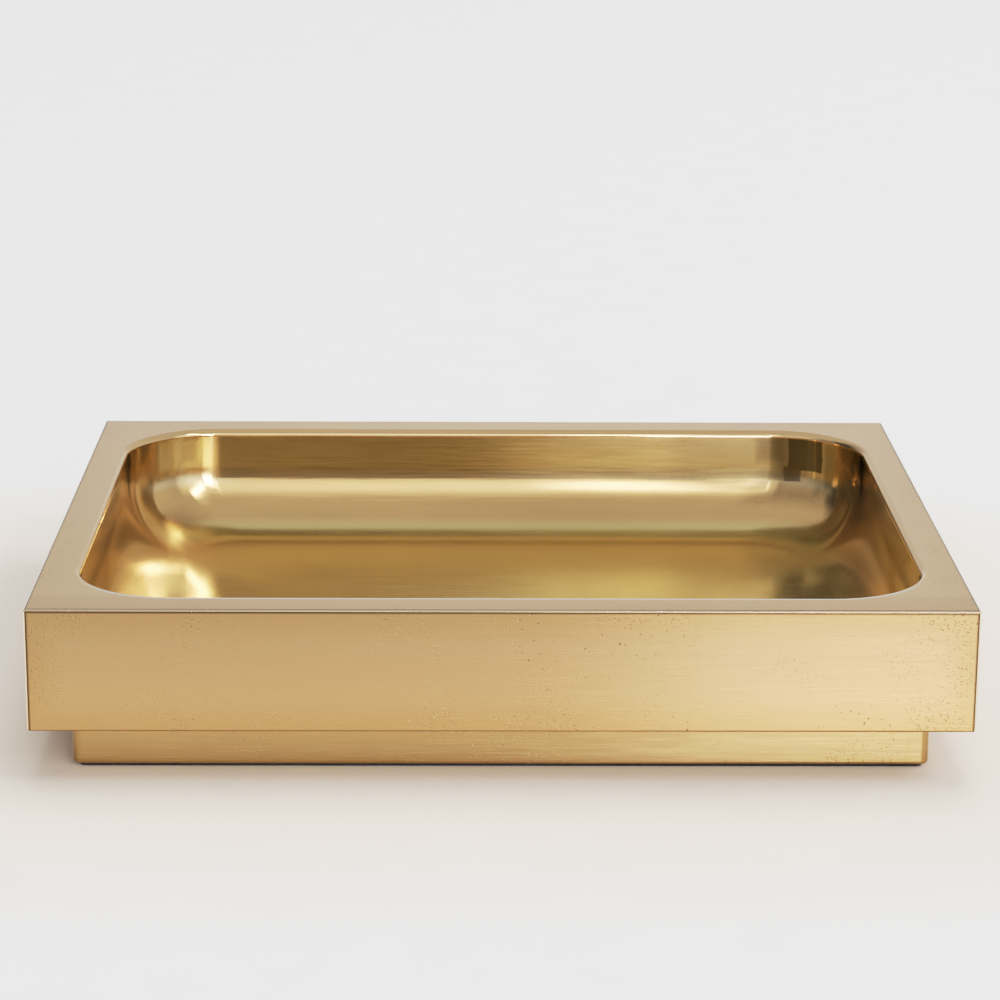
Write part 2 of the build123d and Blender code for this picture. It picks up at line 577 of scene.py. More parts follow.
def makeSatin(name, low, high, finish):  # brushed outside faces between two corners
    f = finish
    material, tree, shader = startMaterial(name)
    grain = place(
        tree, brushGrain, sidePlace=high.x, grainWidth=f["grainWidth"], grainLength=f["grainLength"]
    )
    pores = place(
        tree, castPits, spacing=f["poreSpacing"], size=f["poreSize"], crowd=f["poreCrowd"]
    )
    grit = place(
        tree,
        castPits,
        spacing=f["gritSpacing"],
        size=f["gritSize"],
        crowd=f["gritCrowd"],
        patchSize=f["gritPatch"],
    )
    edge = place(
        tree,
        edgeReach,
        halfWidth=high.x,
        halfDepth=high.y,
        foot=low.z,
        top=high.z,
        reach=f["edgeBand"],
    )
    nearEdge, away = edge["mask"], edge["away"]
    x, y, z = objectPlace(tree)
    # painted shade: a dark line just inside each edge, and along the lowest edge
    line = calc(
        tree,
        "MULTIPLY",
        fade(tree, away, f["lineFrom"] - f["lineFade"], f["lineFrom"] + f["lineFade"]),
        fade(tree, away, f["lineTo"], f["lineFrom"] + f["paintedEdgeHighlightFade"]),
    )
    # painted highlight on the edge itself, a bright line where the edge catches the light
    paintedEdgeHighlightTo = f["lineFrom"] - f["paintedEdgeHighlightFade"]
    paintedEdgeHighlight = fade(tree, away, f["lineFrom"], paintedEdgeHighlightTo)
    # painted shade along the lowest edge
    footLine = calc(
        tree,
        "MULTIPLY",
        fade(tree, z, low.z + f["lineFrom"], low.z + paintedEdgeHighlightTo),
        fade(tree, edge["inwards"], f["lineTo"], f["lineFrom"], high=f["footWeight"]),
    )
    line = calc(tree, "MAXIMUM", calc(tree, "MULTIPLY", line, f["lineWeight"]), footLine)
    patches = place(tree, slowTone, patchSize=f["warmPatch"], stretch=f["warmStretch"])["mask"]
    inPatch = calc(tree, "MULTIPLY", patches, f["warmInPatch"])
    colour = mixColour(tree, inPatch, f["brass"], f["warm"])
    # the warm band along the edges is partly the brass's own tone and partly painted shade along the top
    colour = mixColour(tree, calc(tree, "MULTIPLY", nearEdge, f["warmAtEdge"]), colour, f["warm"])
    least, most = f["darker"] - f["grainTone"], f["darker"] + f["grainTone"]
    shade = fade(tree, grain["tone"], 0.0, 1.0, least, most)
    colour = mixColour(tree, 1.0, colour, point(tree, shade, shade, shade), kind="MULTIPLY")
    fineGrit = calc(tree, "MULTIPLY", grit["mask"], calc(tree, "ADD", f["gritAway"], nearEdge))
    dark = calc(tree, "MAXIMUM", pores["mask"], calc(tree, "MULTIPLY", fineGrit, f["gritWeight"]))
    # painted light and shade: darker along the top and brighter at the foot, or darker towards the front
    # of the rim
    if "paintedShadeFront" in f:
        shadeFrom, shadeFull = f["paintedShadeFront"]
        lower = fade(tree, y, low.y + shadeFrom, low.y + shadeFull)
    else:
        lower = fade(tree, z, high.z, low.z)
    tone = mixColour(tree, lower, f["paintedLightHigh"], f["paintedLightLow"])
    colour = mixColour(tree, 1.0, colour, tone, kind="MULTIPLY")
    colour = mixColour(tree, calc(tree, "MULTIPLY", dark, f["poreWeight"]), colour, f["pore"])
    colour = mixColour(tree, line, colour, f["line"])
    colour = mixColour(tree, paintedEdgeHighlight, colour, f["paintedEdgeHighlight"])
    # painted highlight: a bright line on the rim beside the basin, along the front
    if "paintedLipHighlight" in f:
        fromLip = place(tree, openingReach)["away"]
        width, soft = f["paintedLipHighlightWidth"], f["paintedEdgeHighlightFade"]
        paintedLipHighlight = calc(
            tree,
            "MULTIPLY",
            fade(tree, fromLip, width + soft, width - soft),
            fade(tree, y, *f["paintedLipHighlightEnds"]),
        )
        colour = mixColour(tree, paintedLipHighlight, colour, f["paintedLipHighlight"])
        paintedEdgeHighlight = calc(tree, "MAXIMUM", paintedEdgeHighlight, paintedLipHighlight)
    feed(tree, shader.inputs["Base Color"], colour)
    smooth, coarse = f["roughness"] - f["roughnessChange"], f["roughness"] + f["roughnessChange"]
    rough = fade(tree, grain["tone"], 0.0, 1.0, smooth, coarse)
    rough = calc(tree, "SUBTRACT", rough, calc(tree, "MULTIPLY", paintedEdgeHighlight, f["paintedEdgeHighlightShine"]))
    rough = calc(tree, "ADD", rough, calc(tree, "MULTIPLY", dark, f["poreRoughness"]))
    feed(tree, shader.inputs["Roughness"], rough)
    giveLacquer(shader, f)
    lines = calc(tree, "MULTIPLY", grain["height"], f["grainDepth"])
    pits = calc(tree, "MULTIPLY", dark, f["poreDepth"])
    giveBump(tree, shader, calc(tree, "SUBTRACT", lines, pits))
    return material


basinFinish = dict(
    lip=(0.87, 0.58, 0.29),
    # painted shade: the brushed wall is coloured darker than the buffed brass
    wall=(0.35, 0.262, 0.138),
    paintedWallShade=(0.25, 0.165, 0.07),  # painted shade on the left part of the back wall
    paintedWallShadeEnds=(16 * mm, -10 * mm),
    cove=(0.81, 0.51, 0.215),
    floor=(0.90, 0.72, 0.31),
    floorEnds=(4 * mm, 1 * mm),  # above the foot of the cove
    pale=(0.88, 0.66, 0.36),  # painted light: paler brass on the corners' walls and the left end
    paleEnds=(54 * mm, 70 * mm),  # from the middle, left and right
    leftEnds=(54 * mm, 44 * mm),  # from the middle to the back
    brushedLeft=-64.5 * mm,  # the back wall is left as brushed between its corners
    brushedRight=70 * mm,
    brushedFade=2 * mm,
    # painted shade: colour of the dark patches
    paintedShade=(0.09, 0.06, 0.025),
    lipRoughness=0.30,  # as the rim
    lipDepth=0.35 * mm,
    lipFade=0.2 * mm,
    lipEnds=(1.6 * mm, 1.3 * mm),  # down from the rim
    lipShine=0.12,  # how much smoother the lip is
    wallRoughness=0.21,  # left as brushed
    coveRoughness=0.12,  # buffed brighter
    unevenRoughness=(-0.02, 0.03),
    wallDepth=11.3 * mm,  # from the rim to where the buffing starts
    wallFade=0.3 * mm,
    wallWander=1.4 * mm,  # how unevenly it starts
    belowWall=2 * mm,  # over which the pale ends fade out below the wall
    stretch=1.0,
    coat=0.3,
    coatRoughness=0.2,
    waveSize=20 * mm,
    waveDepth=0.02 * mm,
    lineWidth=0.45 * mm,
    lineLength=16 * mm,
    lineDepth=0.0012 * mm,
    lineTone=0.09,
    wallLineTone=0.5,
    tonePatch=30 * mm,
    toneStretch=2.0,
    toneChange=0.03,
    paintedShadePatches=[  # painted shade and painted dark reflections, each as place, reach, ragged edge, softness and weight, in mm but for the last two
        dict(at=(71.2, 60.5, 29.3), reach=(3.8, 6, 4.0), ragged=0.9, soft=0.1, weight=0.93),
        dict(at=(68.4, 61.5, 24.3), reach=(2.0, 5, 1.7), ragged=0.9, soft=0.12, weight=0.85),
        dict(at=(63.3, 62.9, 30.2), reach=(3.5, 5, 3.6), ragged=1.2, soft=0.6, weight=0.65),
        dict(at=(66.5, 61.5, 21.8), reach=(7.5, 7, 3.4), ragged=1.5, soft=0.6, weight=0.5),
        dict(at=(57.0, 63.0, 28.5), reach=(16.0, 4, 7.0), ragged=2.0, soft=0.3, weight=0.27),
        dict(at=(77.0, 56.5, 28.0), reach=(1.8, 3, 7.0), ragged=1.0, soft=0.5, weight=0.6),
        dict(at=(80.3, 48.0, 28.0), reach=(4.2, 11, 7.5), ragged=2.0, soft=0.4, weight=0.6),
        dict(at=(77.0, 54.5, 19.6), reach=(1.6, 3, 2.5), ragged=1.0, soft=0.6, weight=0.5),
        dict(at=(76.0, -10.0, 12.0), reach=(24.0, 40, 5.0), ragged=3.0, soft=0.3, weight=0.1),
        dict(at=(69.0, 24.0, 12.0), reach=(7.0, 13, 3.0), ragged=9.0, soft=0.7, weight=0.1),
        dict(at=(79.5, 12.0, 16.5), reach=(3.5, 14, 5.0), ragged=6.0, soft=0.7, weight=0.4),
        dict(at=(-70.0, 60.5, 30.5), reach=(2.4, 5, 4.5), ragged=1.0, soft=0.6, weight=0.5),
        dict(at=(-73.0, 52.0, 14.0), reach=(5.0, 4, 2.5), ragged=1.0, soft=0.8, weight=0.45),
    ],
)


def makePolished(name, finish):  # the basin and its lip
    f = finish
    material, tree, shader = startMaterial(name)
    across, along, level = objectPlace(tree)
    down = calc(tree, "SUBTRACT", rimLevel, level)
    ragged = place(
        tree, handPolish, lineWidth=f["lineWidth"], lineLength=f["lineLength"], upright=1.0
    )["lines"]
    wander = calc(tree, "MULTIPLY", calc(tree, "SUBTRACT", ragged, 0.5), f["wallWander"])
    depth = calc(tree, "ADD", down, wander)
    buffed = fade(tree, depth, f["wallDepth"] - f["wallFade"], f["wallDepth"] + f["wallFade"])
    atBack = calc(tree, "GREATER_THAN", along, 0.0)
    left, right, soft = f["brushedLeft"], f["brushedRight"], f["brushedFade"]
    straight = calc(
        tree,
        "MULTIPLY",
        fade(tree, across, left - soft, left + soft),
        fade(tree, across, right + soft, right - soft),
    )
    brushed = calc(tree, "MULTIPLY", straight, atBack)
    buffed = calc(tree, "MAXIMUM", buffed, calc(tree, "SUBTRACT", 1.0, brushed))
    upright = calc(tree, "SUBTRACT", 1.0, buffed)
    polish = place(
        tree,
        handPolish,
        waveSize=f["waveSize"],
        lineWidth=f["lineWidth"],
        lineLength=f["lineLength"],
        upright=upright,
    )
    floorFrom, floorTo = f["floorEnds"]
    foot = trayShape["edgeDepth"]
    nearFloor = fade(tree, down, foot - floorFrom, foot - floorTo)
    # painted shade: the brushed wall is darker, and darker still on the left of the back wall
    wall = mixColour(tree, fade(tree, across, *f["paintedWallShadeEnds"]), f["wall"], f["paintedWallShade"])
    colour = mixColour(tree, buffed, wall, f["cove"])
    colour = mixColour(tree, nearFloor, colour, f["floor"])
    # painted light: paler brass towards the ends and on the left end
    outwards = calc(tree, "ABSOLUTE", across)
    belowWall = fade(tree, down, f["wallDepth"], f["wallDepth"] + f["belowWall"])
    onLeft = calc(tree, "LESS_THAN", across, 0.0)
    leftEnd = calc(tree, "MULTIPLY", onLeft, fade(tree, along, *f["leftEnds"]))
    towardsEnds = fade(tree, outwards, *f["paleEnds"])
    pale = calc(tree, "MULTIPLY", towardsEnds, mixNumber(tree, belowWall, 1.0, leftEnd))
    pale = calc(tree, "MULTIPLY", pale, buffed)  # not where the wall is brushed
    colour = mixColour(tree, pale, colour, f["pale"])
    patches = place(tree, slowTone, patchSize=f["tonePatch"], stretch=f["toneStretch"])["mask"]
    lineTone = mixNumber(tree, buffed, f["wallLineTone"], f["lineTone"])
    tone = calc(tree, "MULTIPLY_ADD", calc(tree, "SUBTRACT", polish["lines"], 0.5), lineTone, 1.0)
    patchTone = fade(tree, patches, 0.0, 1.0, 1 - f["toneChange"], 1 + f["toneChange"])
    tone = calc(tree, "MULTIPLY", tone, patchTone)
    colour = mixColour(tree, 1.0, colour, point(tree, tone, tone, tone), kind="MULTIPLY")
    # painted shade and painted dark reflections in the back corners, at the right end and on the left
    paintedShaded = 0.0
    for mark in f["paintedShadePatches"]:
        (x, y, z), (reachX, reachY, reachZ) = mark["at"], mark["reach"]
        mask = place(
            tree,
            paintedShadePatch,
            x=x * mm,
            y=y * mm,
            z=z * mm,
            reachX=reachX * mm,
            reachY=reachY * mm,
            reachZ=reachZ * mm,
            ragged=mark["ragged"] * mm,
            soft=mark["soft"],
        )["mask"]
        paintedShaded = calc(tree, "MAXIMUM", paintedShaded, calc(tree, "MULTIPLY", mask, mark["weight"]))
    colour = mixColour(tree, paintedShaded, colour, f["paintedShade"])
    onLip = fade(tree, down, *f["lipEnds"])
    feed(tree, shader.inputs["Base Color"], mixColour(tree, onLip, colour, f["lip"]))
    rough = mixNumber(tree, buffed, f["wallRoughness"], f["coveRoughness"])
    belowLip = fade(tree, down, f["lipDepth"], f["lipDepth"] + f["lipFade"])
    rough = mixNumber(tree, belowLip, f["lipRoughness"], rough)
    uneven = fade(tree, polish["lines"], 0.3, 0.7, *f["unevenRoughness"])
    rough = calc(tree, "SUBTRACT", rough, calc(tree, "MULTIPLY", onLip, f["lipShine"]))
    feed(tree, shader.inputs["Roughness"], calc(tree, "ADD", rough, uneven))
    giveLacquer(shader, f)
    waves = calc(tree, "MULTIPLY", polish["waves"], f["waveDepth"])
    lines = calc(tree, "MULTIPLY", polish["lines"], f["lineDepth"])
    giveBump(tree, shader, calc(tree, "ADD", waves, lines))
    return material


rimFinish = dict(
    satinFinish,
    stretch=0.0,
    brass=(0.90, 0.60, 0.28),
    warm=(0.84, 0.54, 0.24),
    paintedLightHigh=(1.0, 1.0, 1.0),
    paintedLightLow=(0.90, 0.86, 0.83),  # painted shade towards the front of the rim
    paintedShadeFront=(10.4 * mm, 7.2 * mm),  # where the painted shade starts and is full, from the front face
    paintedLipHighlight=(1.0, 0.94, 0.84),  # painted highlight: a bright line beside the basin, along the front
    paintedLipHighlightWidth=0.5 * mm,
    paintedLipHighlightEnds=(-52 * mm, -61 * mm),
    roughness=0.3,
    coat=0.6,
    coatRoughness=0.3,
    lineWeight=0.2,
    grainDepth=0.0003 * mm,
    grainTone=0.012,
)
plinthFinish = dict(
    satinFinish,
    brass=(0.575, 0.375, 0.158),
    darker=0.94,
    warm=(0.51, 0.30, 0.10),
    paintedLightHigh=(1.0, 1.0, 1.0),
    paintedLightLow=(1.0, 1.0, 1.0),
    lineWeight=0.3,
    grainTone=0.07,
    grainDepth=0.0009 * mm,
    edgeBand=2.5 * mm,
)
screwFinish = dict(
    satinFinish,
    grainWidth=0.1 * mm,
    grainLength=1.5 * mm,
    edgeBand=0.6 * mm,
    lineWeight=0.0,
    footWeight=0.0,
)

felt = dict(
    black=(0.012, 0.011, 0.010),
    dust=(0.05, 0.045, 0.04),
    dustPatch=8 * mm,
    dustAway=0.25,  # its share outside the patches
    fibre=0.35 * mm,
    fibreDepth=0.06 * mm,
    fibreEnds=(0.45, 0.75),  # of the noise, from black to dusty
    roughness=0.95,
    sheen=0.25,
)


def makeFelt(name):
    material, tree, shader = startMaterial(name, metallic=0.0)
    x, y, z = objectPlace(tree)
    where = point(tree, x, y, z)
    fibres = cloud(tree, where, 1 / felt["fibre"], 4.0, 0.65, 0.6)
    dust = place(tree, slowTone, patchSize=felt["dustPatch"], stretch=1.0)["mask"]
    raised = fade(tree, fibres, *felt["fibreEnds"])
    share = calc(tree, "MULTIPLY", raised, calc(tree, "ADD", felt["dustAway"], dust))
    feed(tree, shader.inputs["Base Color"], mixColour(tree, share, felt["black"], felt["dust"]))
    shader.inputs["Roughness"].default_value = felt["roughness"]
    shader.inputs["Sheen Weight"].default_value = felt["sheen"]
    giveBump(tree, shader, calc(tree, "MULTIPLY", fibres, felt["fibreDepth"]))
    return material


satinBrass = makeSatin("satinBrass", blockLow, bodyHigh, satinFinish)
rimBrass = makeSatin("rimBrass", blockLow, bodyHigh, rimFinish)
basinBrass = makePolished("basinBrass", basinFinish)
plinthBrass = makeSatin("plinthBrass", plinthLow, plinthHigh, plinthFinish)
screwBrass = makeSatin("screwBrass", screwLow, screwHigh, screwFinish)
padFelt = makeFelt("padFelt")
print("materials made")


# Sizes of the screws, and the places that the body, the plinth and the pad share

screwShape = dict(
    headRadius=2.75 * mm,
    headHeight=2.0 * mm,
    headEdge=0.35 * mm,
    slotWidth=0.8 * mm,
    slotDepth=0.85 * mm,
    shankRadius=1.5 * mm,
    rootRadius=1.27 * mm,
    pitch=0.5 * mm,
    tipChamfer=0.4 * mm,
    slotTurns=(18, 64, 121, 155),
)
spigotRadius = trayShape["cornerRadius"] - trayShape["spigotInset"]
spigotWidth = openWidth - 2 * trayShape["spigotInset"]
spigotDepth = openDepth - 2 * trayShape["spigotInset"]
screwX = screwHigh.x - screwShape["headRadius"]
screwY = screwHigh.y - screwShape["headRadius"]
screwPlaces = [(x, y) for x in (-screwX, screwX) for y in (-screwY, screwY)]


# Tray body

def basinRings():  # from the rim to the middle, each as inwards, down and corner radius
    t = trayShape
    lip, cove, corner = t["lipRadius"], t["coveRadius"], t["cornerRadius"]
    rings = []
    for step in range(t["lipSteps"] + 1):
        turn = math.radians(90 * step / t["lipSteps"])
        inwards = lip * (math.sin(turn) - 1)
        rings.append((inwards, lip * (1 - math.cos(turn)), corner - inwards))
    wallFoot = t["edgeDepth"] - cove
    for step in range(1, t["wallRings"] + 1):
        rings.append((0, lip + (wallFoot - lip) * step / t["wallRings"], corner))
    floorRun = openDepth / 2 - cove
    slope = math.atan(2 * t["dish"] / floorRun)
    for step in range(1, t["coveSteps"] + 1):
        turn = (math.pi / 2 - slope) * step / t["coveSteps"]
        inwards = cove * (1 - math.cos(turn))
        radius = corner + (t["footCorner"] - corner) * inwards / cove
        rings.append((inwards, wallFoot + cove * math.sin(turn), radius))
    foot, footDown, footRadius = rings[-1]
    for step in range(1, t["floorRings"] + 1):
        share = step / (t["floorRings"] + 1)
        drop = t["dish"] * (1 - (1 - share) ** 2)
        rings.append((foot + floorRun * share, footDown + drop, footRadius * (1 - share)))
    return rings


def makeBasin():  # lip, wall, cove and floor, bridged ring by ring
    t = trayShape
    rings = basinRings()
    basin = None
    for inwards, down, radius in rings:
        level = rimLevel - down
        ring = outline(
            "basin",
            openWidth - 2 * inwards,
            openDepth - 2 * inwards,
            radius,
            level,
            t["cornerSteps"],
            t["sideCuts"],
        )
        if (inwards, down, radius) != rings[-1]:
            bpy.ops.mesh.delete(type="ONLY_FACE")
        if basin is None:
            basin = ring
        else:
            joinPieces(basin, ring)
            startEditing(basin)
            pick(basin, "edges", lambda e: not e.is_manifold and bridgeable(e, (lastLevel, level)))
            bpy.ops.mesh.bridge_edge_loops()
        lastLevel = level
    makeActive(basin)
    basin.data.materials.append(basinBrass)
    return basin


def makeBlock():  # the outer faces, open at the top and the bottom
    shell = block("trayBody", blockLow, bodyHigh)
    startEditing(shell)
    bpy.ops.mesh.select_all(action="SELECT")
    bpy.ops.mesh.bevel(
        offset=trayShape["edgeRadius"], segments=trayShape["edgeSteps"], affect="EDGES"
    )
    dropFaces(shell, lambda f: atLevel(f, rimLevel) or atLevel(f, blockFoot))
    makeActive(shell)
    shell.data.materials.append(satinBrass)
    return shell


def makeSpigot():  # the low step that drops into the plinth's pocket
    steps = trayShape["cornerSteps"]
    spigot = outline("spigot", spigotWidth, spigotDepth, spigotRadius, blockFoot, steps)
    sink(blockFoot - bodyLow.z)
    dropFaces(spigot, lambda f: atLevel(f, blockFoot))
    makeActive(spigot)
    spigot.data.materials.append(satinBrass)
    return spigot


def makeTrayBody():
    t = trayShape
    top = screwHigh.z + t["tapRunout"]
    holes = []
    for x, y in screwPlaces:
        hole = tube(x, y, t["tappedRadius"], blockFoot, top, ends="NGON")
        dropFaces(hole, lambda f: atLevel(f, blockFoot))
        makeActive(hole)
        hole.data.materials.append(satinBrass)
        holes.append(hole)
    body = joinPieces(makeBlock(), makeBasin(), makeSpigot(), *holes)
    body.data.materials.append(rimBrass)
    fillBetween(body, rimLevel)
    fillBetween(body, blockFoot)
    pick(body, "faces", lambda f: atLevel(f, rimLevel))
    body.active_material_index = len(body.data.materials) - 1
    bpy.ops.object.material_slot_assign()
    pick(body, "faces", lambda f: atLevel(f, blockFoot))
    body.active_material_index = 0
    bpy.ops.object.material_slot_assign()
    finishMesh(body)
    return body


trayBody = makeTrayBody()
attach(trayBody, "root")
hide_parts("tray_body")
print("tray body made")


# Plinth

plinthShape = dict(
    cornerRadius=1.6 * mm,
    footRadius=0.8 * mm,
    cornerSteps=10,
    footSteps=5,
    pocketClearance=0.2 * mm,  # around the spigot
    pocketFloorGap=0.3 * mm,
    boreRadius=3.1 * mm,
    boreDepth=4.0 * mm,
    holeRadius=1.7 * mm,
)


def makePlinth():
    p = plinthShape
    size = plinthHigh - plinthLow
    plate = outline(
        "plinthPlate", size.x, size.y, p["cornerRadius"], plinthHigh.z, p["cornerSteps"]
    )
    sink(size.z - p["footRadius"])
    insetAlong(quarterRound(p["footRadius"], p["footSteps"], startsLevel=False))
    dropFaces(plate, lambda f: atLevel(f, plinthHigh.z) or atLevel(f, plinthLow.z))
    gap = p["pocketClearance"]
    pocket = outline(
        "pocket",
        spigotWidth + 2 * gap,
        spigotDepth + 2 * gap,
        spigotRadius + gap,
        plinthHigh.z,
        trayShape["cornerSteps"],
    )
    sink(blockFoot - bodyLow.z + p["pocketFloorGap"])
    dropFaces(pocket, lambda f: atLevel(f, plinthHigh.z))
    seat = plinthLow.z + p["boreDepth"]
    bores = []
    for x, y in screwPlaces:
        bores.append(tube(x, y, p["boreRadius"], plinthLow.z, seat))
        bores.append(tube(x, y, p["holeRadius"], seat, plinthHigh.z))
    joinPieces(plate, pocket, *bores)
    for level in (plinthLow.z, seat, plinthHigh.z):
        fillBetween(plate, level)
    makeActive(plate)
    plate.data.materials.append(plinthBrass)
    finishMesh(plate)
    return plate


plinthPlate = makePlinth()
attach(plinthPlate, "root")
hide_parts("plinth")
print("plinth made")


# Screws

def makeScrew():  # slotted cheese head, head down, on the middle axis
    s = screwShape
    seat = screwLow.z + s["headHeight"]
    head = tube(0, 0, s["headRadius"], screwLow.z, seat, sides=48, ends="NGON")
    startEditing(head)
    pick(head, "edges", lambda e: atLevel(e, screwLow.z))
    bpy.ops.mesh.bevel(offset=s["headEdge"], segments=4, affect="EDGES")
    width = 3 * s["headRadius"]
    cutter = block(
        "slotCutter",
        Vector((-width, -s["slotWidth"] / 2, screwLow.z - s["slotDepth"])),
        Vector((width, s["slotWidth"] / 2, screwLow.z + s["slotDepth"])),
    )
    useModifier(head, "BOOLEAN", operation="DIFFERENCE", solver="EXACT", object=cutter)
    bpy.data.objects.remove(cutter, do_unlink=True)
    length = screwHigh.z - s["tipChamfer"] - seat
    turns = int(length / s["pitch"])
    plain = length - turns * s["pitch"]
    startEditing(head)
    pick(head, "faces", lambda f: atLevel(f, seat))
    bpy.ops.mesh.inset(thickness=s["headRadius"] - s["rootRadius"], use_even_offset=True)
    sink(-plain)
    for _ in range(turns):  # each ridge goes out to its crest and back
        ridge(s["shankRadius"] / s["rootRadius"], s["pitch"] / 2)
        ridge(s["rootRadius"] / s["shankRadius"], s["pitch"] / 2)
    ridge(1 - s["tipChamfer"] / s["rootRadius"], s["tipChamfer"])
    finishMesh(head, smoothAngle=30)
    return head


def ridge(widening, rise):
    bpy.ops.mesh.extrude_region_move(TRANSFORM_OT_translate={"value": (0, 0, rise)})
    bpy.ops.transform.resize(value=(widening, widening, 1))


def makeScrews():
    pattern = makeScrew()
    screws = []
    seats = zip(screwPlaces, screwShape["slotTurns"])
    for number, ((x, y), turn) in enumerate(seats, start=1):
        makeActive(pattern)
        bpy.ops.object.duplicate(linked=False)
        screw = bpy.context.active_object
        screw.name = f"plinthScrew{number}"
        screw.rotation_euler.z = math.radians(turn)
        screw.location = (x, y, 0)
        bpy.ops.object.transform_apply(location=True, rotation=True, scale=True)
        screw.data.materials.append(screwBrass)
        screws.append(screw)
    bpy.data.objects.remove(pattern, do_unlink=True)
    return screws


for screw in makeScrews():
    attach(screw, "root")
    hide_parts("plinth_screws")
print("screws made")


# Pad

padShape = dict(cornerRadius=1.6 * mm, cornerSteps=8, holeRadius=3.5 * mm, edgeRadius=0.12 * mm)


def makePad():
    p = padShape
    size = padHigh - padLow
    pad = outline("feltPad", size.x, size.y, p["cornerRadius"], padHigh.z, p["cornerSteps"])
    sink(size.z)
    dropFaces(pad, lambda f: atLevel(f, padHigh.z) or atLevel(f, padLow.z))
    holes = [tube(x, y, p["holeRadius"], padLow.z, padHigh.z) for x, y in screwPlaces]
    joinPieces(pad, *holes)
    fillBetween(pad, padLow.z)
    fillBetween(pad, padHigh.z)
    useModifier(
        pad,
        "BEVEL",
        width=p["edgeRadius"],
        segments=2,
        limit_method="ANGLE",
        angle_limit=math.radians(60),
    )
    pad.data.materials.append(padFelt)
    finishMesh(pad)
    return pad


feltPad = makePad()
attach(feltPad, "root")
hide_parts("base_pad")
print("pad made")


# Floor

studio = dict(
    floorHalf=3.0,
    backEdge=2.0,
    backRadius=0.05,  # where the paper turns up at the back
    frontEdge=-0.5,
    paper=(0.9, 0.9, 0.9),
    paintedBounce=(0.87, 0.77, 0.665),  # painted warm bounce light and shade on the paper near the brass
    paintedBounceFrom=5 * mm,
    paintedBounceTo=85 * mm,
    paintedBounceShift=-12 * mm,  # it reaches further on the left
    grain=60.0,
    grainTone=0.01,
    roughness=0.9,
    shine=0.1,
    turnSteps=16,
)


def makeFloor():
    s = studio
    clearSelection()
    middle = (s["frontEdge"] + s["backEdge"]) / 2
    bpy.ops.mesh.primitive_plane_add(size=1, location=(0, middle, 0))
    floor = bpy.context.active_object
    floor.name = "paperSweep"
    floor.scale = (2 * s["floorHalf"], s["backEdge"] - s["frontEdge"], 1)
    bpy.ops.object.transform_apply(location=True, rotation=True, scale=True)
    startEditing(floor)
    pick(floor, "edges", lambda e: all(v.co.y > s["backEdge"] - mm for v in e.verts))
    bpy.ops.mesh.spin(
        steps=s["turnSteps"],
        angle=math.radians(90),
        center=(0, s["backEdge"], s["backRadius"]),
        axis=(1, 0, 0),
    )
    makeActive(floor)
    bpy.ops.object.shade_smooth_by_angle(angle=math.radians(30))
    material, tree, shader = startMaterial("paper", metallic=0.0)
    x, y, z = objectPlace(tree)
    grain = cloud(tree, point(tree, x, y, z), s["grain"], 3.0)
    shade = fade(tree, grain, 0.3, 0.7, 1 - s["grainTone"], 1 + s["grainTone"])
    # painted warm bounce light and shade, fading with distance from the tray
    shifted = calc(tree, "SUBTRACT", x, s["paintedBounceShift"])
    beside = calc(tree, "SUBTRACT", calc(tree, "ABSOLUTE", shifted), bodyHigh.x)
    before = calc(tree, "SUBTRACT", calc(tree, "ABSOLUTE", y), bodyHigh.y)
    sideways = calc(tree, "MAXIMUM", beside, 0.0)
    corner = point(tree, sideways, calc(tree, "MAXIMUM", before, 0.0), 0.0)
    away = addNode(tree, "ShaderNodeVectorMath", operation="LENGTH")
    feed(tree, away.inputs[0], corner)
    paintedBounce = fade(tree, away.outputs["Value"], s["paintedBounceTo"], s["paintedBounceFrom"])
    colour = mixColour(tree, paintedBounce, s["paper"], s["paintedBounce"])
    colour = mixColour(tree, 1.0, colour, point(tree, shade, shade, shade), kind="MULTIPLY")
    feed(tree, shader.inputs["Base Color"], colour)
    shader.inputs["Roughness"].default_value = s["roughness"]
    shader.inputs["Specular IOR Level"].default_value = s["shine"]
    floor.data.materials.append(material)


makeFloor()
print("floor made")


# Lights

# the room's brightness by direction: azimuth 0 is in front of the tray and 90 to its right
sky = dict(
    low=[
        (-180, 1.1), (-150, 0.4), (-122, 0.04), (-95, 0.06), (-86, 0.2), (-62, 0.3),
        (-45, 0.7), (-20, 0.9), (-7, 1.0), (0, 0.87), (20, 0.8), (35, 1.2),
        (52, 1.0), (60, 0.5), (85, 0.7), (150, 0.6), (180, 1.1),
    ],
    middle=[
        (-180, 0.65), (-150, 0.4), (-120, 0.08), (-97, 0.12), (-85, 0.4), (-70, 0.3), (-58, 0.6),
        (-43, 0.75), (-22, 0.75), (-12, 0.65), (-7, 1.35), (0, 1.8), (5, 1.6), (6, 0.7),
        (22, 1.2), (40, 1.5), (55, 1.1), (63, 0.55), (85, 0.65), (180, 0.65),
    ],
    high=0.57,
    horizon=0.5,  # share of the low tone that is left at the horizon
    horizonEnds=(0, 9),
    lowEnds=(10, 17),
    middleEnds=(27, 42),
)


def rampOf(tree, value, stops):  # azimuths to tones
    made = addNode(tree, "ShaderNodeValToRGB")
    elements = made.color_ramp.elements
    while len(elements) < len(stops):
        elements.new(0.5)
    for element, (azimuth, tone) in zip(elements, sorted(stops)):
        element.position = (azimuth + 180) / 360
        element.color = (tone, tone, tone, 1)
    feed(tree, made.inputs[0], value)
    return made.outputs[0]


